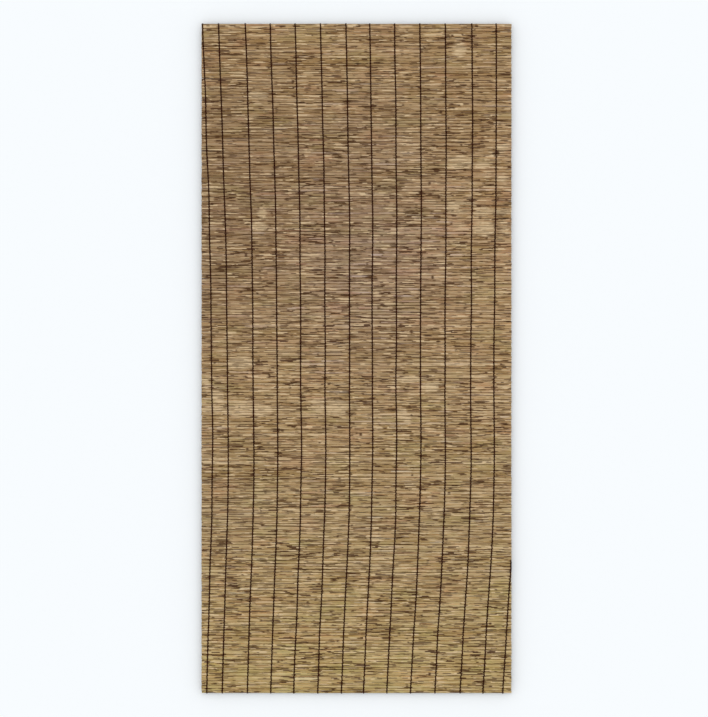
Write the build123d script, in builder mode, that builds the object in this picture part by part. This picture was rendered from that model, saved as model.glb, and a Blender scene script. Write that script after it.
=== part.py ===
"""Reed blind: a flat curtain of hollow reeds, bound side by side by courses of dark twine.

The curtain lies on its back, with its face up. X runs along the reeds, which is the width,
Y runs along the drop, from the bottom reed to the top one, and Z points out of the face.
The origin is the middle of the back, in the plane that the twines rest on.
All sizes are in millimetres.
"""

from build123d import *
import os

# Reeds. Each one runs right across the blind and tapers from its butt to its tip.
reed_length = 600.0
reed_count = 216
butt_diameter = 5.4  # across the flats at the thick end
reed_taper = 0.4  # how much thinner the other end is
wall_thickness = 0.85  # from a flat to the bore
reed_gap = 0.8  # the slit between two neighbours
reed_sides = 8  # a multiple of four, so that a flat lies on the twine
bore_sides = 5

# Twine courses. Each is one flattened loop, drawn round the whole row of reeds.
course_count = 14
twine_width = 2.8
twine_thickness = 1.2
first_spacing = 30.5  # from the first course to the second, closer than the others lie

# The courses bow in and sway on their way down. This is what they do at five heights.
heights = (1.0, 0.35, -0.3, -0.62, -1.0)  # as shares of half the drop
margins = (33.0, 41.0, 44.0, 44.8, 48.5)  # from the cut ends to the second and the 13th course
sways = (2.5, 8.4, 9.6, 3.6, -8.0)  # how far the whole set stands to the right
# How far the second to the 13th course each stand to the right of an even spacing
shifts = (-1.7, 1.4, 1.1, 0.2, 0.7, 1.2, -1.5, -1.9, -1.6, -0.9, 2.3, 0.6)

# The blind was cut to width, through the last course, which is left only near the bottom
last_course_rise = 255.0  # how far up it runs, to where it meets the cut ends
last_course_drift = 16.0  # how far in from there its foot is

# Like pieces that lie side by side share one part
reeds_in_band = 12

# What follows from the sizes above
tip_diameter = butt_diameter - reed_taper
reed_pitch = (butt_diameter + tip_diameter) / 2 + reed_gap
row_length = (reed_count - 1) * reed_pitch
axis_height = twine_thickness + butt_diameter / 2
face_height = 2 * axis_height
flat_up = 180 / reed_sides
end_for_end = 180
top_reach = row_length / 2 + butt_diameter / 2 + twine_thickness


def reed_y(number):
    """Where a reed's axis lies along the drop. Reed 0 is the top one."""
    return row_length / 2 - number * reed_pitch


def course_x(number, margin, sway):
    """Where a course stands across the width, for the margin and sway at one height."""
    reach = reed_length / 2 - margin
    inner = max(number, 1)
    bay = 2 * reach / (course_count - 3)
    x = sway - reach + (inner - 1) * bay + shifts[inner - 1]
    return x if number > 0 else x - first_spacing


def course_points(number):
    """The points that a course runs through, from its top to its foot."""
    if number == course_count - 1:
        edge = reed_length / 2 - twine_width / 2
        return [(edge, last_course_rise - top_reach), (edge - last_course_drift, -top_reach)]
    points = []
    for height, margin, sway in zip(heights, margins, sways):
        points.append((course_x(number, margin, sway), height * top_reach))
    return points


def reed_section(diameter):
    """The cross-section of a reed: its outside, with the bore taken out."""
    RegularPolygon(diameter / 2, reed_sides, major_radius=False, rotation=flat_up)
    bore_radius = diameter / 2 - wall_thickness
    RegularPolygon(bore_radius, bore_sides, major_radius=False, mode=Mode.SUBTRACT)


def row_outline():
    """The outline of the whole row of reeds, seen from the side."""
    with Locations((-row_length / 2, axis_height), (row_length / 2, axis_height)):
        RegularPolygon(butt_diameter / 2, reed_sides, major_radius=False, rotation=flat_up)
    make_hull()


# One reed along X, with its butt at the left
with BuildPart() as reed:
    with BuildSketch(Plane.YZ.offset(-reed_length / 2)):
        reed_section(butt_diameter)
    with BuildSketch(Plane.YZ.offset(reed_length / 2)):
        reed_section(tip_diameter)
    loft(ruled=True)


def make_band(first_reed):
    """A band of reeds side by side, butt beside tip, so that the row stays straight."""
    last_reed = min(first_reed + reeds_in_band, reed_count)
    places = []
    for number in range(first_reed, last_reed):
        turn = end_for_end * (number % 2)
        places.append(Location((0, reed_y(number), axis_height), (0, 0, turn)))
    with BuildPart() as band:
        with Locations(*places):
            add(reed.part)
    return band


def make_course(number):
    """One course: a loop round the row of reeds, cut to the width and the line of the twine."""
    with BuildPart() as course:
        with BuildSketch(Plane.YZ):
            row_outline()
            offset(amount=twine_thickness, kind=Kind.INTERSECTION)
        extrude(amount=reed_length / 2, both=True)
        with BuildSketch(Plane.YZ):
            row_outline()
        extrude(amount=reed_length / 2, both=True, mode=Mode.SUBTRACT)
        with BuildSketch(Plane.XY):
            with BuildLine():
                Polyline(*course_points(number))
            trace(line_width=twine_width)
        extrude(amount=face_height, mode=Mode.INTERSECT)
    return course


os.makedirs("parts", exist_ok=True)

for first_reed in range(0, reed_count, reeds_in_band):
    band = make_band(first_reed)
    band_number = first_reed // reeds_in_band + 1
    band.part.label = f"reeds_{band_number:02d}"
    export_step(band.part, f"parts/{band.part.label}.step")

for number in range(course_count):
    course = make_course(number)
    course.part.label = f"twine_{number + 1:02d}"
    export_step(course.part, f"parts/{course.part.label}.step")
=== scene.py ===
"""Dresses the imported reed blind: grown canes in place of the plain tubes, two crossing strands in
place of each plain loop of twine, scraps of sheath, and a pale studio.

Everything is in metres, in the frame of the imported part: X along the reeds, Y up the drop, Z out
of the face.
"""

import math
import random

import bmesh
import bpy
import numpy
from bpy.props import FloatProperty, FloatVectorProperty, IntProperty, PointerProperty
from bpy.types import Operator, Panel, PropertyGroup
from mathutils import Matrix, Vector


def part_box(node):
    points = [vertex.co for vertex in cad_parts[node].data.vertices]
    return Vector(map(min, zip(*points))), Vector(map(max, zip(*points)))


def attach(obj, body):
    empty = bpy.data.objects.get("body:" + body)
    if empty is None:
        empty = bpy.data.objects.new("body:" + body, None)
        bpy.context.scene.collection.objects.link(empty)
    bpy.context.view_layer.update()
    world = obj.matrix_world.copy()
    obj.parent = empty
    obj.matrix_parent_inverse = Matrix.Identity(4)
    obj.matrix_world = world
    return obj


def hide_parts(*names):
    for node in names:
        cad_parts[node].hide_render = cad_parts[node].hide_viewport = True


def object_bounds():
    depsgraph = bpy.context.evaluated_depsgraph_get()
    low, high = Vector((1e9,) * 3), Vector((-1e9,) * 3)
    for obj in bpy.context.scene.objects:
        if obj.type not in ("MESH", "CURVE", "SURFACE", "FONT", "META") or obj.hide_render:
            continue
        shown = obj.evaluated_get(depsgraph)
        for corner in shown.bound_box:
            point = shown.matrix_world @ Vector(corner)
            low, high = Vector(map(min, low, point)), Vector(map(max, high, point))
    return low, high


bl_info = {
    "name": "Reed blind",
    "version": (1, 0, 0),
    "blender": (4, 5, 0),
    "location": "3D View > Sidebar > Reed blind",
    "description": "Dresses a reed blind with grown canes, crossing twine and scraps of sheath",
    "category": "Add Mesh",
}

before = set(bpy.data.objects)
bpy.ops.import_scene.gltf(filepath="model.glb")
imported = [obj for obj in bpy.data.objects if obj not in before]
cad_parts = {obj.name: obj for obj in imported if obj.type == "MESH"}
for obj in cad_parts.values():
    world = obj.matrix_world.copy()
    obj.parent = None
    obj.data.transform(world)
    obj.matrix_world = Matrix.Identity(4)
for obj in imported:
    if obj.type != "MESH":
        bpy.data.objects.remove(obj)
cad_low, cad_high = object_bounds()

MM = 0.001
BANDS = sorted(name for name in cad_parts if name.startswith("reeds_"))
COURSES = sorted(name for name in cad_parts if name.startswith("twine_"))
UP = Vector((0, 1, 0))  # up the drop
OUT = Vector((0, 0, 1))  # out of the face


def length(name, description, default, **limits):
    """A size that a user may change, in metres."""
    return FloatProperty(name=name, description=description, default=default, unit="LENGTH",
                         precision=5, **limits)


def colour(name, description, default):
    """A colour that a user may change, given as it looks on a screen, from 0 to 255."""
    shares = tuple(channel / 255 for channel in default)
    return FloatVectorProperty(name=name, description=description, default=shares, size=3,
                               min=0, max=1, subtype="COLOR_GAMMA")


class CaneSettings(PropertyGroup):
    """What the reeds are like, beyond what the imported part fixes."""

    per_band: IntProperty(name="Reeds in a band", default=12, min=1,
                          description="How many reeds one packed band holds")
    sides: IntProperty(name="Sides", default=10, min=6, description="Faces round a reed")
    breadth: length("Breadth", "Usual breadth of a reed along the drop", 6.0 * MM)
    roundness: FloatProperty(name="Roundness", default=0.66, min=0.5, max=1,
                             description="1 for a round reed, less for one that is pressed flat")
    spread: FloatProperty(name="Spread", default=0.3,
                          description="How much the breadth differs from reed to reed, as a share")
    thickest: length("Thickest", "Broader reeds than this are pressed flat to it", 6.2 * MM)
    taper: length("Taper", "How much thinner a reed's tip is than its butt", 0.4 * MM)
    wall: length("Wall", "Thickness of the wall at a cut end", 0.8 * MM)
    bore_depth: length("Bore depth", "How far in the first partition lies", 14 * MM)
    node_spacing: length("Node spacing", "Usual distance from node to node", 150 * MM)
    node_swell: FloatProperty(name="Node swell", default=0.05,
                              description="How much thicker a reed is at a node, as a share")
    ring_spacing: length("Ring spacing", "Length of one straight piece of the mesh", 55 * MM)
    kink: length("Kink", "How far a node may stand out of line along the drop", 0.18 * MM)
    lift: length("Lift", "How far a node may stand out of line through the sheet", 0.12 * MM)
    wave: length("Wave", "How far neighbours bend together along the drop", 0.6 * MM)
    trim: length("Trim", "How unevenly the ends are cut", 0.7 * MM)
    scraps: IntProperty(name="Scraps", default=3, min=0,
                        description="How many scraps of leaf sheath still clasp each reed")


class TwineSettings(PropertyGroup):
    """What the strands of twine are like."""

    width: length("Width", "Width of a strand where it lies on a reed", 2.5 * MM)
    thickness: length("Thickness", "Thickness of a strand where it lies on a reed", 1.1 * MM)
    nipped_width: length("Nipped width", "Width of a strand in a gap, beside the other", 1.4 * MM)
    sides: IntProperty(name="Sides", default=8, min=5, description="Faces round a strand")
    wander: length("Wander", "How far a course strays from its line", 0.5 * MM)


class ColourSettings(PropertyGroup):
    """The colours of the blind and of the stage, as they look."""

    brown: colour("Brown cane", "The darkest whole reeds", (143, 114, 71))
    tan: colour("Tan cane", "What most of the reeds are", (172, 146, 109))
    straw: colour("Straw cane", "The palest reeds and streaks", (195, 172, 143))
    rosy: colour("Rosy cane", "Reeds with a pink cast", (174, 136, 102))
    olive: colour("Olive cane", "Reeds that dried greenish", (164, 148, 98))
    # Painted light: the pale colour of the painted spots of sunlight and of the painted highlights on
    # the crests
    painted_sunlight: colour("Bleached cane", "Spots that the weather has bleached", (212, 187, 148))
    # Painted shade: the colour laid into the creases where a reed lies against the next
    painted_crease_shade: colour("Creases", "Where a reed lies against the next", (102, 61, 10))
    mark: colour("Marks", "Node scars, sheath edges and dark dashes", (70, 38, 3))
    twine: colour("Twine", "The strands of twine", (46, 16, 2))
    stage: colour("Stage", "The floor and what is behind the blind", (248, 252, 255))


class StageSettings(PropertyGroup):
    """The camera's place and the level of the light."""

    lens: FloatProperty(name="Lens", default=120, min=10, unit="CAMERA",
                        description="Focal length in millimetres")
    dome: FloatProperty(name="Dome", default=0.93, min=0, max=1,
                        description="Share of the light that comes from all round")
    floor_gap: length("Floor gap", "How far the floor lies below the blind", 6 * MM)


# Shapes

MERGED = 0.0005 * MM  # points closer than this are one

# The lines of the courses
CORNER_REACH = 40 * MM  # a packed course's points closer than this belong to one corner
EASE = 90 * MM  # how far to each side of a corner the line is eased

# A reed's nodes
END_CLEARANCE = 8 * MM  # no node lies closer than this to the right end
SWELL_REACH = 2.2 * MM
SCAR_REACH = 2 * MM
NODE_RINGS = (-4 * MM, -1.2 * MM, 1.2 * MM, 4 * MM)  # where the mesh has rings beside a node
RING_CLEARANCE = 9 * MM  # the evenly spaced rings keep this clear of a node
END_RING_CLEARANCE = 1 * MM

TONE_SPREAD = 0.35  # how far the tone of a reed's stretches differs from its own
BARE_SHARE = 0.4  # of the stretches have lost their dull skin
CREASE_EDGE = 3  # how sharply a reed's sides are set off from its crest
GRAIN_STEP = 0.05  # how far on round the grain each reed starts, in metres

# How neighbouring reeds bend together: the waves' rates along X and Y, their phase and their share
RIPPLES = ((13, 21, 0.4, 0.4), (23, -33, 2.1, 0.3), (37, 47, 4.4, 0.2), (8, 60, 5.2, 0.25),
           (52, -26, 1.3, 0.12))
CALM_EDGE = 60 * MM  # the waves die out this close to the top and the foot

LEAST_SLIT = 0.05 * MM  # between two reeds

STRAND_ANGLES = (-54, -18, 18, 54)  # where a strand has its rings on a reed, from its crest
STRAND_BAKE_ROWS = 24  # in how many rows a strand lies in the bake map
BAKE_MARGIN = 0.04  # how much of a row's height is left free at either side there

# How thin a strand may be pressed, on a reed and in a slit, and how thick it may be in a slit
LEAST_PRESSED = 0.25 * MM
LEAST_NIPPED = 0.15 * MM
MOST_NIPPED = 0.5 * MM


def course_line(node, wander, half_width):
    """The line of a packed course, seen from the front: X for any Y.

    Its corners are eased, it strays and wanders a little, and it stays within the cut ends.
    """
    groups = {}
    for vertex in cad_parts[node].data.vertices:
        groups.setdefault(round(vertex.co.y / CORNER_REACH), []).append(vertex.co)
    corners = []
    for points in groups.values():
        xs = [point.x for point in points]
        corners.append((sum(point.y for point in points) / len(points), (min(xs) + max(xs)) / 2))
    corners.sort()
    heights, places = zip(*corners)
    limit = cad_high.x - half_width

    def line(y):
        ease = min(EASE, max(0, y - heights[0]), max(0, heights[-1] - y))
        total = 0.0
        for share in (-1, -0.5, 0, 0.5, 1):
            total += float(numpy.interp(y + share * ease, heights, places)) / 5
        total += stray_of_courses(total, y) + wander(y)
        return max(-limit, min(limit, total))

    return line


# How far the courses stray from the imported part's smoother lines: the height on the sheet, then the
# shift at the left edge, in the middle and at the right edge, in millimetres
STRAYS = (
    (-600, 1.5, 0.0, 0.5), (-530, 1.0, -0.5, -0.5), (-420, 1.0, 0.0, 1.0), (-300, 1.5, 1.0, 2.0),
    (-180, 1.0, 0.5, 1.0), (-70, 0.0, -0.5, -1.0), (160, 0.0, 0.0, -0.5), (280, -0.5, 1.5, 0.5),
    (400, -1.0, 1.0, 1.5), (500, -0.5, 1.0, 1.5), (630, -1.0, 0.0, 0.0),
)


def stray_of_courses(x, y):
    """How far a course at x strays at the height y."""
    heights, *columns = zip(*STRAYS)
    shifts = [numpy.interp(y / MM, heights, column) for column in columns]
    return float(numpy.interp(x, (cad_low.x, 0, cad_high.x), shifts)) * MM


class Cane:
    """One reed as it grew: its ends, its nodes, its bends and its taper."""

    def __init__(self, number, y, breadth, sizes):
        draw = random.Random(4100 + number)
        low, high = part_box(BANDS[number // sizes.per_band])
        self.number = number
        self.sizes = sizes
        self.y = y
        self.z = (low.z + high.z) / 2
        self.breadth = breadth
        self.thickness = min(breadth, sizes.thickest)
        self.left = low.x + draw.uniform(0, 1) ** 2 * sizes.trim
        self.right = high.x - draw.uniform(0, 1) ** 2 * sizes.trim
        self.butt_left = number % 2 == 0
        self.nodes = []
        x = self.left + draw.uniform(0.1, 1.0) * sizes.node_spacing
        while x < self.right - END_CLEARANCE:
            self.nodes.append(x)
            x += draw.uniform(0.65, 1.3) * sizes.node_spacing
        self.stations = [self.left] + self.nodes + [self.right]
        self.kinks = [draw.uniform(-1, 1) * sizes.kink for _ in self.stations]
        self.lifts = [draw.uniform(-1, 1) * sizes.lift for _ in self.stations]
        own = draw.random()
        self.tones = [min(1, max(0, own + draw.uniform(-TONE_SPREAD, TONE_SPREAD)))
                      for _ in self.stations]
        self.bare = [1.0 if draw.random() < BARE_SHARE else 0.0 for _ in self.stations]

    def centre(self, x):
        """The middle of the reed at x."""
        kink = float(numpy.interp(x, self.stations, self.kinks))
        lift = float(numpy.interp(x, self.stations, self.lifts))
        return Vector((x, self.y + kink + self.sizes.wave * ripple(x, self.y), self.z + lift))

    def growth(self, x):
        """The reed's size at x beside its usual size: it tapers, and swells at each node."""
        along = (x - self.left) / (self.right - self.left)
        towards_tip = along if self.butt_left else 1 - along
        swell = 0.0
        for node in self.nodes:
            away = abs(x - node) / SWELL_REACH
            swell += self.sizes.node_swell * math.exp(-away * away)
        return (1 + self.sizes.taper / self.breadth * (0.5 - towards_tip)) * (1 + swell)

    def half_breadth(self, x):
        """Half the reed's size at x along the drop."""
        return self.breadth / 2 * self.growth(x)

    def half_thickness(self, x):
        """Half the reed's size at x through the sheet."""
        return self.thickness / 2 * self.growth(x)

    def skin(self, x, angle, away=0.0):
        """A place on the reed's skin at x, or away from it, at that angle from the upper side."""
        roundness = self.sizes.roundness
        across = (self.half_breadth(x) + away) * pressed_flat(math.cos(angle), roundness)
        outward = (self.half_thickness(x) + away) * pressed_flat(math.sin(angle), roundness)
        return self.centre(x) + Vector((0, across, outward))

    def length_of_cane(self, x):
        """Which stretch between two nodes x is in."""
        return sum(node < x for node in self.nodes)

    def scar(self, x):
        """1 at a node and 0 away from it."""
        return 1.0 if any(abs(x - node) < SCAR_REACH for node in self.nodes) else 0.0

    def has_neighbour(self, above):
        """Whether another reed lies above this one, or below it."""
        beside = self.number - 1 if above else self.number + 1
        return 0 <= beside < len(BANDS) * self.sizes.per_band

    def rings(self):
        """Where the mesh has its rings, closer together at the nodes."""
        steps = max(2, round((self.right - self.left) / self.sizes.ring_spacing))
        places = [self.left + (self.right - self.left) * step / steps for step in range(steps + 1)]
        near = [node + away for node in self.nodes for away in NODE_RINGS]
        kept = [x for x in places if all(abs(x - node) > RING_CLEARANCE for node in self.nodes)
                or x in (places[0], places[-1])]
        low = self.left + END_RING_CLEARANCE
        high = self.right - END_RING_CLEARANCE
        return sorted(kept + [x for x in near if low < x < high])


def pressed_flat(share, roundness):
    """A sine or cosine for a section between a circle and a square."""
    return math.copysign(abs(share) ** roundness, share)


def ripple(x, y):
    """How neighbouring reeds bend together: a few slow waves over the sheet, none at its ends."""
    total = 0.0
    for rate_x, rate_y, phase, share in RIPPLES:
        total += share * math.sin(rate_x * x + rate_y * y + phase)
    edge = min(cad_high.y - y, y - cad_low.y)
    return total * min(1, max(0, edge / CALM_EDGE))


def lay_canes(sizes):
    """Reeds of uneven thickness, from the top one to the bottom one, each in its band's place."""
    draw = random.Random(417)
    canes = []
    tops = [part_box(node)[1].y for node in BANDS] + [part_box(BANDS[-1])[0].y]
    for band, node in enumerate(BANDS):
        room = tops[band] - tops[band + 1]
        widths = []
        slits = []
        for row in range(sizes.per_band):
            width = sizes.breadth * math.exp(sizes.spread * max(-2, min(1.8, draw.gauss(0, 1))))
            widths.append(width)
            last = band == len(BANDS) - 1 and row == sizes.per_band - 1
            slits.append(0 if last else draw.uniform(0.2, 1))
        squeeze = (room - LEAST_SLIT * sizes.per_band) / sum(widths)
        widths = [width * squeeze for width in widths]
        spare = room - sum(widths)
        edge = tops[band]
        for width, slit in zip(widths, slits):
            canes.append(Cane(len(canes), edge - width / 2, width, sizes))
            edge -= width + spare * slit / sum(slits)
    return canes


def roll_grid(bm, rings, sides, roundness, bake_rows, bake_low, bake_high, girth_from=0.0):
    """Rolls a grid of quads into a tube, open at both ends, through the rings.

    A ring is its middle, its half-width and its half-height as vectors. Two maps are laid on it.
    Grain holds metres along and round the tube, and OFBake lays the tube in even rows.
    """
    grid = bmesh.ops.create_grid(bm, x_segments=len(rings) - 1, y_segments=sides, size=0.5)
    vertices = grid["verts"]
    grain = bm.loops.layers.uv["grain"]
    bake = bm.loops.layers.uv["OFBake"]
    spot = {}
    along = [0.0]
    for before, after in zip(rings, rings[1:]):
        along.append(along[-1] + (after[0] - before[0]).length)
    for vertex in vertices:
        ring = round((vertex.co.x + 0.5) * (len(rings) - 1))
        side = round((vertex.co.y + 0.5) * sides)
        spot[vertex] = (ring, side)
    for vertex, (ring, side) in spot.items():
        middle, across, upward = rings[ring]
        turn = math.tau * side / sides
        vertex.co = (middle + across * pressed_flat(math.cos(turn), roundness)
                     + upward * pressed_flat(math.sin(turn), roundness))
    faces = {face for vertex in vertices for face in vertex.link_faces}
    per_row = math.ceil((len(rings) - 1) / bake_rows)
    for face in faces:
        row = min(spot[loop.vert][0] for loop in face.loops) // per_row
        for loop in face.loops:
            ring, side = spot[loop.vert]
            middle, across, upward = rings[ring]
            girth = math.tau * (across.length + upward.length) / 2
            loop[grain].uv = (along[ring], girth_from + girth * side / sides)
            u = (ring - row * per_row) / per_row
            v = (row + BAKE_MARGIN + (1 - 2 * BAKE_MARGIN) * side / sides) / bake_rows
            loop[bake].uv = (u, bake_low + (bake_high - bake_low) * v)
    return spot


def new_bmesh():
    """An empty mesh in the making, with the maps and the traits that the materials read."""
    bm = bmesh.new()
    bm.loops.layers.uv.new("grain")
    bm.loops.layers.uv.new("OFBake")
    for trait in ("tone", "bare", "scar", "side", "cut"):
        bm.verts.layers.float.new(trait)
    return bm


def finish_piece(bm, name, materials, sharp_angle):
    """Closes the seams, turns the faces outwards and makes the object."""
    bmesh.ops.remove_doubles(bm, verts=bm.verts, dist=MERGED)
    bmesh.ops.recalc_face_normals(bm, faces=bm.faces)
    mesh = bpy.data.meshes.new(name)
    bm.to_mesh(mesh)
    bm.free()
    mesh.shade_smooth()
    mesh.set_sharp_from_angle(angle=math.radians(sharp_angle))
    for material in materials:
        mesh.materials.append(material)
    piece = bpy.data.objects.new(name, mesh)
    bpy.context.scene.collection.objects.link(piece)
    return piece


def grow_cane(bm, cane, sizes, row_low, row_high):
    """One hollow reed: in at one open end, out along its whole length and in at the other."""
    places = cane.rings()
    rings = []
    for x in places:
        rings.append((cane.centre(x), UP * cane.half_breadth(x), OUT * cane.half_thickness(x)))

    def bore(end, inward):
        middle, half_width, half_height = end
        share = 1 - sizes.wall / half_width.length
        rim = (middle, half_width * share, half_height * share)
        return rim, (middle + Vector((inward * sizes.bore_depth, 0, 0)), rim[1], rim[2])

    left_rim, left_bottom = bore(rings[0], 1)
    right_rim, right_bottom = bore(rings[-1], -1)
    rings = [left_bottom, left_rim] + rings + [right_rim, right_bottom]
    places = [places[0], places[0]] + places + [places[-1], places[-1]]
    spots = roll_grid(bm, rings, sizes.sides, sizes.roundness, 1, row_low, row_high,
                      cane.number * GRAIN_STEP)
    traits = bm.verts.layers.float
    for vertex, (ring, side) in spots.items():
        x = places[ring]
        stretch = cane.length_of_cane(x)
        facing = math.cos(math.tau * side / sizes.sides)
        touched = cane.has_neighbour(facing > 0)
        # side: how squarely a place faces a neighbouring reed; the cane material paints shade and
        # fill light into the creases by it
        vertex[traits["side"]] = abs(facing) ** CREASE_EDGE if touched else 0.0
        vertex[traits["tone"]] = cane.tones[stretch]
        vertex[traits["bare"]] = cane.bare[stretch]
        vertex[traits["scar"]] = cane.scar(x)
        vertex[traits["cut"]] = 1.0 if ring < 2 or ring > len(rings) - 3 else 0.0


SCRAP_LENGTHS = (12, 60)  # in millimetres
LEAST_SCRAP = 10 * MM  # a scrap cut shorter than this by the reed's end is left out
SCRAP_CLEARANCE = 3 * MM  # from the cut ends
SCRAP_TONES = (0.1, 0.4, 0.6, 0.9, 1.0)
SCRAP_GRAIN_STEP = 0.7  # how far on along the grain each reed's scraps start, in metres
SCRAP_THICKNESS = 0.1 * MM

# How much of the bake map the reeds fill, from its foot. The scraps lie above them.
CANE_ROOM = 0.84
SCRAP_ROOM = 0.0018  # how tall a scrap's face is there
SCRAP_STEP = 0.0022  # how far above its face its back lies


def wrap_scrap(bm, cane, turn, cell):
    """A scrap of leaf sheath that still clasps the reed by a node and ends in a narrow tongue.

    The cell is how far up its part of the bake map it lies, from 0 to 1.
    """
    draw = random.Random(7300 + cane.number * 10 + turn)
    start = draw.choice(cane.nodes) + draw.uniform(-40, 2) * MM
    start = max(start, cane.left + SCRAP_CLEARANCE)
    span = min(draw.uniform(*SCRAP_LENGTHS) * MM, cane.right - start - SCRAP_CLEARANCE)
    if span < LEAST_SCRAP:
        return
    middle_angle = draw.uniform(0.15, 0.85) * math.pi
    opening = draw.uniform(0.1, 0.3) * math.pi
    lean = draw.uniform(-0.12, 0.12)
    tone = draw.choice(SCRAP_TONES)
    grid = bmesh.ops.create_grid(bm, x_segments=5, y_segments=3, size=0.5)
    grain = bm.loops.layers.uv["grain"]
    bake = bm.loops.layers.uv["OFBake"]
    faces = {face for vertex in grid["verts"] for face in vertex.link_faces}
    for vertex in grid["verts"]:
        share = vertex.co.x + 0.5
        across = vertex.co.y
        width = opening * (1 - 0.9 * abs((share - 0.4) / 0.6) ** 3)
        angle = middle_angle + lean * share + across * width
        x = start + share * span + draw.uniform(-1.5, 1.5) * MM * (0 < share < 1)
        for loop in vertex.link_loops:
            girth = width * cane.half_breadth(x)
            loop[grain].uv = (share * span + cane.number * SCRAP_GRAIN_STEP, across * girth)
            row = CANE_ROOM + (1 - CANE_ROOM) * cell
            loop[bake].uv = (share, row + SCRAP_ROOM * (across + 0.6))
        vertex.co = cane.skin(x, angle, (0.12 + 0.3 * share * abs(across)) * MM)
        vertex[bm.verts.layers.float["tone"]] = tone
    shell = bmesh.ops.solidify(bm, geom=list(faces), thickness=SCRAP_THICKNESS)
    inside = [part for part in shell["geom"] if isinstance(part, bmesh.types.BMFace)]
    for face in inside:
        for loop in face.loops:
            loop[bake].uv.y += SCRAP_STEP
    faces.update(inside)
    for face in faces:
        if face.is_valid:
            face.material_index = 1


def close_ends(bm):
    """Closes the seams, then every open end: the bottom of a bore, or a strand's cut end."""
    bmesh.ops.remove_doubles(bm, verts=bm.verts, dist=MERGED)
    open_edges = [edge for edge in bm.edges if edge.is_boundary]
    bmesh.ops.holes_fill(bm, edges=open_edges, sides=0)


def lay_strands(bm, canes, line, sizes):
    """Both strands of one course, weaving past these reeds, as one loop or from a cut end."""
    half_width = sizes.width / 2
    half_height = sizes.thickness / 2
    nip = sizes.nipped_width / 2
    face = cad_high.z - canes[0].z

    def over(cane, strand, angle):
        """A ring where the strand lies on a reed, at that angle from the reed's crest."""
        x = line(cane.y)
        side = 1 if (cane.number + strand) % 2 == 0 else -1
        normal = OUT * math.cos(angle) - UP * (math.sin(angle) * side)
        lift = abs(cane.centre(x).z - cane.z)
        spare = (face - lift - cane.half_thickness(x)) / 2
        pressed = min(half_height, max(LEAST_PRESSED, spare))
        middle = cane.skin(x, side * math.pi / 2 + angle, pressed)
        middle.x += side * nip * math.sin(angle)
        return middle, Vector((half_width, 0, 0)), normal * pressed

    def between(upper, lower, strand):
        """A ring in the slit between two reeds, beside the other strand."""
        y = (upper.y + lower.y) / 2
        x = line(y)
        above = upper.skin(x, math.pi)
        below = lower.skin(x, 0)
        side = 1 if (upper.number + strand) % 2 == 0 else -1
        middle = (above + below) / 2
        middle.x += side * nip
        half_slit = min(max((above.y - below.y) / 2, LEAST_NIPPED), MOST_NIPPED)
        return middle, Vector((nip, 0, 0)), -UP * (side * half_slit)

    def round_end(cane, way):
        """The ring outside an end reed, where the strand turns back."""
        x = line(cane.y)
        side = 1 if cane.number % 2 == 0 else -1
        middle = cane.skin(x, 0 if way > 0 else math.pi, half_height)
        return middle, Vector((half_width, 0, 0)), UP * (way * side * half_height)

    angles = [math.radians(angle) for angle in STRAND_ANGLES]
    whole = canes[0].number == 0
    rings = [round_end(canes[0], 1)] if whole else []
    for cane, lower in zip(canes, canes[1:] + [None]):
        rings += [over(cane, 0, angle) for angle in angles]
        if lower:
            rings.append(between(cane, lower, 0))
    rings.append(round_end(canes[-1], -1))
    for cane, upper in zip(reversed(canes), canes[-2::-1] + [None]):
        rings += [flipped(over(cane, 1, angle)) for angle in reversed(angles)]
        if upper:
            rings.append(flipped(between(upper, cane, 1)))
    if whole:
        rings.append(rings[0])
    roll_grid(bm, rings, sizes.sides, 1, STRAND_BAKE_ROWS, 0, 1)


def flipped(ring):
    """The same ring for a strand that runs the other way."""
    middle, across, upward = ring
    return middle, across, -upward


def wandering(number, amount):
    """How far a course strays from its line at y: a few slow waves of its own."""
    draw = random.Random(900 + number)
    waves = []
    for _ in range(4):
        waves.append((draw.uniform(12, 40), draw.uniform(0, math.tau), draw.uniform(0.2, 0.5)))

    def stray(y):
        return amount * sum(share * math.sin(rate * y + phase) for rate, phase, share in waves)

    return stray


# Materials


def as_light(channels):
    """A colour as it looks, turned to the light that a shader works in."""
    linear = []
    for share in channels:
        linear.append(share / 12.92 if share <= 0.04045 else ((share + 0.055) / 1.055) ** 2.4)
    return (*linear, 1.0)


def socket(tree, kind, name, sort):
    """Adds a named input or output to a node group."""
    tree.interface.new_socket(name=name, in_out=kind, socket_type=sort)


def add(tree, kind, links=(), **settings):
    """A shader node with its settings and its inputs, each a value or another node's output."""
    node = tree.nodes.new(kind)
    for name, value in settings.items():
        setattr(node, name, value)
    for place, value in dict(links).items():
        if isinstance(value, bpy.types.NodeSocket):
            tree.links.new(value, node.inputs[place])
        else:
            node.inputs[place].default_value = value
    return node


def sums(tree, operation, *values, clamp=False):
    """A Math node's output."""
    return add(tree, "ShaderNodeMath", enumerate(values), operation=operation,
               use_clamp=clamp).outputs[0]


def between_values(tree, value, low, high, to_low=0.0, to_high=1.0):
    """The value, eased from one span to another."""
    links = {0: value, 1: low, 2: high, 3: to_low, 4: to_high}
    return add(tree, "ShaderNodeMapRange", links, interpolation_type="SMOOTHSTEP").outputs[0]


def blend(tree, share, first, second, mode="MIX"):
    """Two colours mixed."""
    return add(tree, "ShaderNodeMix", {0: share, 6: first, 7: second}, data_type="RGBA",
               blend_type=mode, clamp_factor=True).outputs[2]


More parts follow.
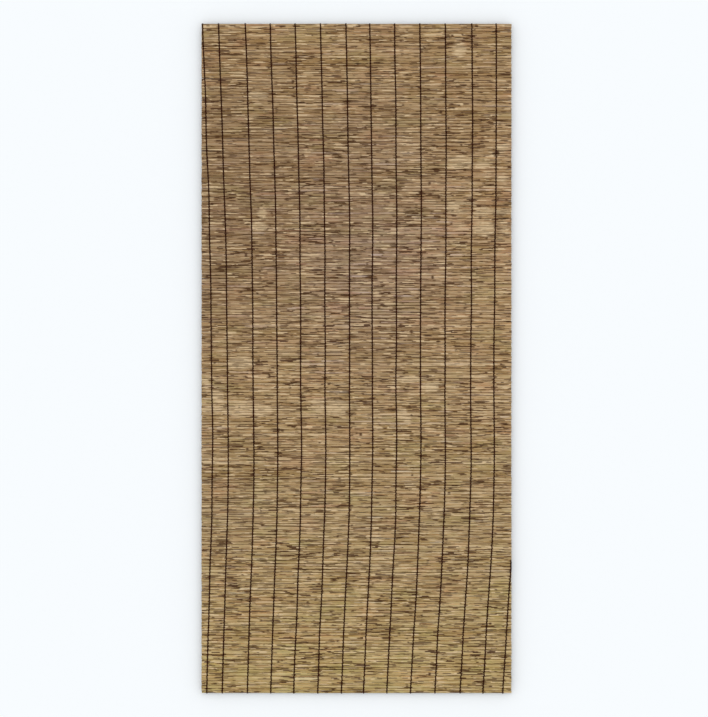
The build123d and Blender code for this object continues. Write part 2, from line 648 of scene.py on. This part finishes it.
def speckle(tree, vector, scale, stretch, detail=2.0, roughness=0.5, offset=0.0):
    """Noise with its pattern drawn out: scale per metre along each axis."""
    mapping = add(tree, "ShaderNodeMapping", {0: vector, 1: (offset, offset, offset), 3: stretch})
    links = {"Vector": mapping.outputs[0], "Scale": scale, "Detail": detail, "Roughness": roughness}
    return add(tree, "ShaderNodeTexNoise", links).outputs[0]


# Breadth of the bundles of fibres that the streaks keep to, so that they run straight along a reed
FIBRE = 1.1 * MM


def streak_group():
    """Streaks along a reed, each from 0 to 1: slow, fine, blotches, dark dashes and pale dashes."""
    tree = bpy.data.node_groups.new("Cane streaks", "ShaderNodeTree")
    socket(tree, "INPUT", "Along and round", "NodeSocketVector")
    names = ("Slow", "Fine", "Blotches", "Dark dashes", "Pale dashes")
    for name in names:
        socket(tree, "OUTPUT", name, "NodeSocketFloat")
    vector = add(tree, "NodeGroupInput").outputs[0]
    fibres = add(tree, "ShaderNodeVectorMath", {0: vector, 1: (0.5 * MM, FIBRE, 1)},
                 operation="SNAP").outputs[0]
    slow = speckle(tree, fibres, 1.0, (9, 500, 1), detail=2)
    fine = speckle(tree, vector, 1.0, (60, 2600, 1), detail=3, roughness=0.6, offset=3.1)
    blotch = speckle(tree, fibres, 1.0, (45, 680, 1), detail=2, roughness=0.6, offset=5.9)
    dark = speckle(tree, fibres, 1.0, (36, 590, 1), detail=1, offset=7.7)
    pale = speckle(tree, fibres, 1.0, (32, 520, 1), detail=1, offset=12.3)
    found = (between_values(tree, slow, 0.3, 0.7), fine, blotch,
             between_values(tree, dark, 0.55, 0.58), between_values(tree, pale, 0.58, 0.62))
    add(tree, "NodeGroupOutput", dict(zip(names, found)))
    return tree


# Painted spots of sunlight on the sheet: the middle, half the width and half the height in metres,
# how strong
PAINTED_SUNLIGHT = (
    (0.199, 0.379, 0.034, 0.015, 0.9), (0.244, 0.375, 0.024, 0.011, 0.65),
    (0.284, 0.408, 0.020, 0.009, 0.75), (0.284, 0.348, 0.020, 0.016, 0.55),
    (0.199, 0.292, 0.032, 0.015, 0.95), (0.246, 0.284, 0.028, 0.015, 0.6),
    (0.284, 0.284, 0.022, 0.008, 0.85), (0.201, 0.259, 0.030, 0.018, 0.4),
    (0.246, 0.251, 0.029, 0.019, 0.7), (0.284, 0.249, 0.020, 0.026, 0.4),
    (-0.182, 0.282, 0.012, 0.018, 0.7), (-0.190, 0.255, 0.020, 0.011, 0.9),
    (-0.224, -0.008, 0.030, 0.014, 1.05), (-0.180, -0.019, 0.030, 0.010, 0.4),
    (-0.290, -0.050, 0.012, 0.030, 0.45), (-0.269, -0.073, 0.014, 0.014, 1.1),
    (-0.224, -0.101, 0.032, 0.012, 1.4), (-0.184, -0.101, 0.020, 0.012, 1.5),
    (-0.278, -0.099, 0.026, 0.008, 1.05), (-0.037, -0.095, 0.032, 0.022, 0.7),
    (-0.075, -0.091, 0.024, 0.027, 0.6), (-0.012, -0.021, 0.020, 0.006, 0.5),
    (0.101, -0.041, 0.028, 0.008, 0.95), (0.143, -0.056, 0.026, 0.013, 0.8),
    (0.108, -0.068, 0.040, 0.007, 0.4), (0.086, -0.106, 0.012, 0.012, 1.1),
    (0.098, -0.120, 0.013, 0.012, 0.6), (0.199, 0.598, 0.016, 0.020, 0.8),
    (-0.191, 0.510, 0.020, 0.008, 1.25), (0.290, 0.645, 0.016, 0.008, 0.4),
)

SPOT_REACH = 1.35  # how far a spot's soft rim reaches, beside its size
SPOT_STRENGTH = 2.2
RAGGED = 1.5  # how much noise frays the spots

# What the colour is multiplied by, from the foot of the sheet (0) to its top (1)
CASTS = (
    (0.0, (1.18, 1.27, 1.07)), (0.25, (1.07, 1.12, 1.11)), (0.45, (1.09, 1.11, 1.12)),
    (0.65, (0.95, 0.94, 0.98)), (0.85, (0.90, 0.88, 0.88)), (1.0, (1.00, 0.97, 0.93)),
)

# Broad soft shades: the middle, half the width and half the height in metres, and what the colour
# is multiplied by at the middle
SHADES = (
    (-0.30, 0.27, 0.30, 0.42, (0.83, 0.80, 0.80)),
    (0.30, 0.26, 0.28, 0.50, (1.12, 1.11, 1.10)),
    (0.02, 0.20, 0.24, 0.36, (0.93, 0.93, 1.08)),
    (-0.30, -0.25, 0.22, 0.22, (0.91, 0.90, 0.89)),
)


def ellipse(tree, place, x, y, half_width, half_height):
    """A soft ellipse on the sheet: 1 in its middle, falling evenly to 0 at its rim."""
    mapping = add(tree, "ShaderNodeMapping", {0: place, 1: (-x / half_width, -y / half_height, 0),
                                              3: (1 / half_width, 1 / half_height, 0)})
    return add(tree, "ShaderNodeTexGradient", {0: mapping.outputs[0]},
               gradient_type="SPHERICAL").outputs["Fac"]


def sheet_group():
    """What differs over the sheet: patches, pink, green, painted spots of sunlight and a colour cast.
    """
    tree = bpy.data.node_groups.new("Sheet patches", "ShaderNodeTree")
    socket(tree, "INPUT", "Place", "NodeSocketVector")
    names = ("Patches", "Pink", "Green", "Painted sunlight", "Cast")
    for name in names:
        socket(tree, "OUTPUT", name, "NodeSocketColor" if name == "Cast" else "NodeSocketFloat")
    place = add(tree, "NodeGroupInput").outputs[0]
    patches = speckle(tree, place, 1.0, (7, 34, 1), detail=2)
    hue = speckle(tree, place, 1.0, (14, 40, 1), detail=2, offset=5.5)
    ragged = speckle(tree, place, 1.0, (70, 260, 1), detail=2, roughness=0.6, offset=2.2)
    painted_sunlight = None
    # Painted light: each spot is a pool of sunlight painted on, its rim frayed by noise
    for x, y, half_width, half_height, strength in PAINTED_SUNLIGHT:
        spot = ellipse(tree, place, x, y, half_width * SPOT_REACH, half_height * SPOT_REACH)
        spot = sums(tree, "MULTIPLY", spot, strength * SPOT_STRENGTH)
        painted_sunlight = spot if painted_sunlight is None else sums(tree, "MAXIMUM", painted_sunlight, spot)
    painted_sunlight = sums(tree, "SUBTRACT", painted_sunlight, RAGGED / 2)
    painted_sunlight = sums(tree, "MULTIPLY_ADD", ragged, RAGGED, painted_sunlight)
    height = add(tree, "ShaderNodeSeparateXYZ", {0: place}).outputs[1]
    height = sums(tree, "MULTIPLY_ADD", height, 1 / (cad_high.y - cad_low.y), 0.5, clamp=True)
    cast = add(tree, "ShaderNodeValToRGB", {0: height})
    stops = cast.color_ramp.elements
    while len(stops) < len(CASTS):
        stops.new(1.0)
    for stop, (share, factors) in zip(stops, CASTS):
        stop.position = share
        stop.color = (*factors, 1)
    cast = cast.outputs[0]
    for x, y, half_width, half_height, factors in SHADES:
        shade = between_values(tree, ellipse(tree, place, x, y, half_width, half_height), 0, 1)
        cast = blend(tree, shade, cast, (*factors, 1), "MULTIPLY")
    found = (patches, between_values(tree, hue, 0.54, 0.74), between_values(tree, hue, 0.47, 0.27),
             between_values(tree, painted_sunlight, 0.45, 1.05), cast)
    add(tree, "NodeGroupOutput", dict(zip(names, found)))
    return tree


def place_group(tree, group, vector):
    """The outputs of a node group placed in a material."""
    return add(tree, "ShaderNodeGroup", {0: vector}, node_tree=group).outputs


def blank_material(name):
    """A material with its shader and nothing driving it, and that shader."""
    material = bpy.data.materials.new(name)
    material.use_nodes = True
    return material, material.node_tree, material.node_tree.nodes["Principled BSDF"]


def trait(tree, name):
    """A trait that the reeds carry on their mesh."""
    return add(tree, "ShaderNodeAttribute", attribute_name=name).outputs["Fac"]


def mix_many(tree, colour_in, *layers):
    """A colour with layers laid over it, each a share and a colour."""
    for share, shade in layers:
        colour_in = blend(tree, share, colour_in, shade)
    return colour_in


def ramp(tree, level, stops):
    """A colour for every level, from stops that each hold a level and a colour as it looks."""
    node = add(tree, "ShaderNodeValToRGB", {0: level})
    elements = node.color_ramp.elements
    while len(elements) < len(stops):
        elements.new(1.0)
    for element, (place, shade) in zip(elements, stops):
        element.position = place
        element.color = as_light(shade)
    return node.outputs[0]


def dry_colour(tree, colours, level, sheet, brown, tan, straw):
    """A ramp of dried reed, with the casts that it takes over the sheet."""
    shaded = ramp(tree, level, ((0.1, brown), (0.5, tan), (0.9, straw)))
    shaded = mix_many(tree, shaded,
                      (sums(tree, "MULTIPLY", sheet["Pink"], 0.5), as_light(colours.rosy)),
                      (sums(tree, "MULTIPLY", sheet["Green"], 0.4), as_light(colours.olive)))
    return blend(tree, 1.0, shaded, sheet["Cast"], "MULTIPLY")


def cane_material(colours, streaks, patches):
    """Dry cane: tan, with streaks along it, patches over the sheet, and painted light and shade."""
    material, tree, shader = blank_material("Dry cane")
    grain = add(tree, "ShaderNodeUVMap", uv_map="grain").outputs[0]
    place = add(tree, "ShaderNodeTexCoord").outputs["Object"]
    streak = place_group(tree, streaks, grain)
    sheet = place_group(tree, patches, place)
    bare = trait(tree, "bare")
    side = trait(tree, "side")

    level = sums(tree, "MULTIPLY_ADD", trait(tree, "tone"), 0.2, 0.125)
    level = sums(tree, "MULTIPLY_ADD", streak["Slow"], 0.3, level)
    level = sums(tree, "MULTIPLY_ADD", sums(tree, "SUBTRACT", sheet["Patches"], 0.5), 0.5, level)
    level = sums(tree, "MULTIPLY_ADD", sums(tree, "SUBTRACT", streak["Blotches"], 0.5), 1.0, level)
    shaded = dry_colour(tree, colours, level, sheet, colours.brown, colours.tan, colours.straw)
    shaded = blend(tree, 1.0, shaded, between_values(tree, streak["Fine"], 0.3, 0.7, 0.9, 1.09),
                   "MULTIPLY")
    # Painted light: the flanks facing a neighbour are lightened in stretches, to soften the shade in
    # the creases
    painted_crease_light = sums(tree, "MULTIPLY", side, between_values(tree, streak["Slow"], 0.25, 0.7, 0.5, 1))
    shaded = blend(tree, painted_crease_light, shaded, (2.0, 1.86, 1.62, 1), "MULTIPLY")
    # Painted highlight: pale dashes on the crests only, partly pale fibres and partly the lamp's
    # sheen on smooth reeds
    crest = sums(tree, "SUBTRACT", 1.0, side)
    pale = sums(tree, "MULTIPLY", streak["Pale dashes"], crest)
    # Painted light: the spots of sunlight, laid on in their pale colour, with less painted crease
    # shade and fewer dark dashes inside them
    painted_sunlight = sums(tree, "MULTIPLY", sheet["Painted sunlight"],
                    between_values(tree, streak["Blotches"], 0.35, 0.6, 0.35, 1))
    outside_painted_sunlight = between_values(tree, sheet["Painted sunlight"], 0, 0.7, 1, 0.55)
    # Painted shade: the creases between touching reeds are darkened in stretches, less so inside the
    # painted spots of sunlight
    painted_crease_shade_mask = sums(tree, "MULTIPLY", side, between_values(tree, streak["Slow"], 0.42, 0.18, 0, 0.85))
    painted_crease_shade_mask = sums(tree, "MULTIPLY", painted_crease_shade_mask, outside_painted_sunlight)
    dashes = sums(tree, "MULTIPLY", streak["Dark dashes"],
                  between_values(tree, sheet["Patches"], 0.62, 0.42, 0.65, 0.95))
    dashes = sums(tree, "MULTIPLY", dashes, outside_painted_sunlight)
    scar = sums(tree, "MULTIPLY", trait(tree, "scar"),
                between_values(tree, streak["Blotches"], 0.5, 0.58))
    shaded = mix_many(tree, shaded,
                      (sums(tree, "MULTIPLY", pale, 0.8), as_light(colours.painted_sunlight)),
                      (painted_sunlight, as_light(colours.painted_sunlight)),
                      (painted_crease_shade_mask, as_light(colours.painted_crease_shade)),
                      (dashes, as_light(colours.mark)),
                      (sums(tree, "MULTIPLY", scar, 0.9), as_light(colours.mark)),
                      (sums(tree, "MULTIPLY", trait(tree, "cut"), 0.4), as_light(colours.straw)))
    tree.links.new(shaded, shader.inputs["Base Color"])
    dull = between_values(tree, streak["Fine"], 0.2, 0.8, 0.5, 0.7)
    tree.links.new(sums(tree, "MULTIPLY_ADD", bare, -0.22, dull), shader.inputs["Roughness"])
    shader.inputs["Specular IOR Level"].default_value = 0.2
    bump = add(tree, "ShaderNodeBump", {"Height": streak["Fine"], "Distance": 0.1 * MM,
                                        "Strength": 0.5})
    tree.links.new(bump.outputs[0], shader.inputs["Normal"])
    return material


def sheath_material(colours, streaks, patches):
    """Papery leaf sheath: duller than the cane, veined along its length."""
    material, tree, shader = blank_material("Leaf sheath")
    grain = add(tree, "ShaderNodeUVMap", uv_map="grain").outputs[0]
    place = add(tree, "ShaderNodeTexCoord").outputs["Object"]
    streak = place_group(tree, streaks, grain)
    sheet = place_group(tree, patches, place)
    level = sums(tree, "MULTIPLY_ADD", trait(tree, "tone"), 0.8, -0.1)
    level = sums(tree, "MULTIPLY_ADD", streak["Slow"], 0.4, level)
    shaded = dry_colour(tree, colours, level, sheet, colours.brown, colours.rosy, colours.straw)
    shaded = blend(tree, 1.0, shaded, between_values(tree, streak["Fine"], 0.3, 0.7, 0.78, 1.12),
                   "MULTIPLY")
    shaded = blend(tree, sums(tree, "MULTIPLY", streak["Dark dashes"], 0.6), shaded,
                   as_light(colours.mark))
    tree.links.new(shaded, shader.inputs["Base Color"])
    shader.inputs["Roughness"].default_value = 0.8
    shader.inputs["Specular IOR Level"].default_value = 0.2
    bump = add(tree, "ShaderNodeBump", {"Height": streak["Fine"], "Distance": 0.15 * MM,
                                        "Strength": 0.7})
    tree.links.new(bump.outputs[0], shader.inputs["Normal"])
    return material


def twine_material(colours):
    """Dark twisted twine."""
    material, tree, shader = blank_material("Dark twine")
    grain = add(tree, "ShaderNodeUVMap", uv_map="grain").outputs[0]
    plies = add(tree, "ShaderNodeTexWave", {"Vector": grain, "Scale": 160.0, "Distortion": 1.0},
                wave_type="BANDS", bands_direction="DIAGONAL").outputs["Fac"]
    worn = speckle(tree, grain, 1.0, (40, 300, 1), detail=2)
    dark = as_light([0.65 * channel for channel in colours.twine])
    light = as_light([min(1, 1.35 * channel) for channel in colours.twine])
    shade = sums(tree, "MULTIPLY_ADD", plies, 0.6, between_values(tree, worn, 0.35, 0.7, 0, 0.4))
    tree.links.new(blend(tree, shade, dark, light), shader.inputs["Base Color"])
    shader.inputs["Roughness"].default_value = 0.85
    shader.inputs["Specular IOR Level"].default_value = 0.08
    bump = add(tree, "ShaderNodeBump", {"Height": plies, "Distance": 0.15 * MM, "Strength": 0.6})
    tree.links.new(bump.outputs[0], shader.inputs["Normal"])
    return material


# Operators


class BLIND_OT_canes(Operator):
    """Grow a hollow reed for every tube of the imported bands"""

    bl_idname = "blind.canes"
    bl_label = "Reeds"

    def execute(self, context):
        sizes = context.scene.cane_settings
        colours = context.scene.blind_colours
        groups = streak_group(), sheet_group()
        cane = cane_material(colours, *groups)
        sheath = sheath_material(colours, *groups)
        canes = lay_canes(sizes)
        for band, node in enumerate(BANDS):
            bm = new_bmesh()
            for row in range(sizes.per_band):
                number = band * sizes.per_band + row
                share = CANE_ROOM / sizes.per_band
                grow_cane(bm, canes[number], sizes, row * share, (row + 1) * share)
            close_ends(bm)
            for row in range(sizes.per_band):
                for turn in range(sizes.scraps):
                    cell = (row * sizes.scraps + turn) / (sizes.per_band * sizes.scraps)
                    wrap_scrap(bm, canes[band * sizes.per_band + row], turn, cell)
            piece = finish_piece(bm, node.replace("reeds", "canes"), [cane, sheath], 50)
            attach(piece, "root")
            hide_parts(node)
        return {"FINISHED"}


class BLIND_OT_twine(Operator):
    """Weave two strands of twine in place of each packed course"""

    bl_idname = "blind.twine"
    bl_label = "Twine"

    def execute(self, context):
        sizes = context.scene.twine_settings
        colours = context.scene.blind_colours
        twine = twine_material(colours)
        canes = lay_canes(context.scene.cane_settings)
        for number, node in enumerate(COURSES):
            bm = new_bmesh()
            line = course_line(node, wandering(number, sizes.wander), sizes.width / 2)
            foot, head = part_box(node)[0].y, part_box(node)[1].y
            passed = [cane for cane in canes if foot < cane.y < head]
            lay_strands(bm, passed, line, sizes)
            close_ends(bm)
            piece = finish_piece(bm, node.replace("twine", "strands"), [twine], 70)
            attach(piece, "root")
            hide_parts(node)
        return {"FINISHED"}


# Where the sheet is in the photograph, in its own pixels
PHOTO_SIZE = (708, 717)
SHEET_LEFT, SHEET_RIGHT = 201.4, 511.6
SHEET_TOP, SHEET_BOTTOM = 22.9, 693.95

FLOOR_RADIUS = 60.0
FLOOR_BOUNCE = (0.4, 0.4, 0.4, 1)  # what the floor gives back to all but the camera
LAMP_ANGLE = 12  # how broad the lamp looks from the blind, in degrees
LAMP_SLANT = 20  # how far it leans from straight above, in degrees


class BLIND_OT_stage(Operator):
    """Set the pale floor, the soft light and the camera straight above the sheet"""

    bl_idname = "blind.stage"
    bl_label = "Stage"

    def execute(self, context):
        scene = context.scene
        settings = scene.stage_settings
        backdrop = as_light(scene.blind_colours.stage)
        self.add_floor(backdrop, settings.floor_gap)
        self.add_light(scene, settings, backdrop)
        self.add_camera(scene, settings)
        scene.view_settings.view_transform = "Standard"
        return {"FINISHED"}

    def add_floor(self, backdrop, gap):
        """A wide round floor, a little below the sheet, which doesn't lie quite flat."""
        bm = bmesh.new()
        bmesh.ops.create_circle(bm, cap_ends=True, segments=64, radius=FLOOR_RADIUS)
        bmesh.ops.translate(bm, verts=bm.verts, vec=(0, 0, cad_low.z - gap))
        mesh = bpy.data.meshes.new("floor")
        bm.to_mesh(mesh)
        bm.free()
        material, tree, shader = blank_material("Studio floor")
        seen = add(tree, "ShaderNodeLightPath").outputs["Is Camera Ray"]
        tree.links.new(blend(tree, seen, FLOOR_BOUNCE, backdrop), shader.inputs["Base Color"])
        shader.inputs["Roughness"].default_value = 1.0
        shader.inputs["Specular IOR Level"].default_value = 0.0
        mesh.materials.append(material)
        floor = bpy.data.objects.new("floor", mesh)
        bpy.context.scene.collection.objects.link(floor)

    def add_light(self, scene, settings, backdrop):
        """An even dome, and a broad soft lamp from beyond the top edge."""
        world = bpy.data.worlds.new("Studio")
        world.use_nodes = True
        tree = world.node_tree
        tree.nodes.clear()
        path = add(tree, "ShaderNodeLightPath")
        seen = sums(tree, "MAXIMUM", path.outputs["Is Camera Ray"], path.outputs["Is Glossy Ray"])
        seen = sums(tree, "MAXIMUM", seen, path.outputs["Is Transmission Ray"])
        shown = add(tree, "ShaderNodeBackground", {"Color": backdrop, "Strength": 1.0})
        white = (1, 1, 1, 1)
        light = add(tree, "ShaderNodeBackground", {"Color": white, "Strength": settings.dome})
        links = {0: seen, 1: light.outputs[0], 2: shown.outputs[0]}
        mixed = add(tree, "ShaderNodeMixShader", links)
        add(tree, "ShaderNodeOutputWorld", {"Surface": mixed.outputs[0]})
        scene.world = world
        lamp = bpy.data.lights.new("softbox", "SUN")
        lamp.angle = math.radians(LAMP_ANGLE)
        slant = math.radians(LAMP_SLANT)
        lamp.energy = math.pi * (1 - settings.dome) / math.cos(slant)
        holder = bpy.data.objects.new("softbox", lamp)
        holder.rotation_euler = (-slant, 0, 0)
        scene.collection.objects.link(holder)

    def add_camera(self, scene, settings):
        """Straight above, so that the sheet falls where the photograph shows it."""
        camera = bpy.data.cameras.new("camera")
        camera.lens = settings.lens
        metre_per_pixel = (cad_high.x - cad_low.x) / (SHEET_RIGHT - SHEET_LEFT)
        frame_height = PHOTO_SIZE[1] * metre_per_pixel
        distance = frame_height * camera.lens / camera.sensor_width
        across = PHOTO_SIZE[0] / 2 - (SHEET_LEFT + SHEET_RIGHT) / 2
        down = PHOTO_SIZE[1] / 2 - (SHEET_TOP + SHEET_BOTTOM) / 2
        holder = bpy.data.objects.new("camera", camera)
        holder.location = (across * metre_per_pixel, -down * metre_per_pixel, cad_high.z + distance)
        camera.clip_start = 0.1
        camera.clip_end = 200
        scene.collection.objects.link(holder)
        scene.camera = holder


class BLIND_PT_panel(Panel):
    """Lists what dresses the blind"""

    bl_idname = "BLIND_PT_panel"
    bl_label = "Reed blind"
    bl_space_type = "VIEW_3D"
    bl_region_type = "UI"
    bl_category = "Reed blind"

    def draw(self, context):
        for group in SETTINGS:
            settings = getattr(context.scene, group)
            for name in settings.__annotations__:
                self.layout.prop(settings, name)
        for operator in OPERATORS:
            self.layout.operator(operator.bl_idname)


SETTINGS = {
    "cane_settings": CaneSettings,
    "twine_settings": TwineSettings,
    "blind_colours": ColourSettings,
    "stage_settings": StageSettings,
}
OPERATORS = (BLIND_OT_canes, BLIND_OT_twine, BLIND_OT_stage)


def register():
    """Makes the settings, operators and panel known."""
    for name, group in SETTINGS.items():
        bpy.utils.register_class(group)
        setattr(bpy.types.Scene, name, PointerProperty(type=group))
    for operator in OPERATORS:
        bpy.utils.register_class(operator)
    bpy.utils.register_class(BLIND_PT_panel)


def unregister():
    """Takes them away again."""
    bpy.utils.unregister_class(BLIND_PT_panel)
    for operator in reversed(OPERATORS):
        bpy.utils.unregister_class(operator)
    for name, group in SETTINGS.items():
        delattr(bpy.types.Scene, name)
        bpy.utils.unregister_class(group)


def main():
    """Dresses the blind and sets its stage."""
    register()
    bpy.ops.blind.canes()
    bpy.ops.blind.twine()
    bpy.ops.blind.stage()


if __name__ == "__main__":
    main()
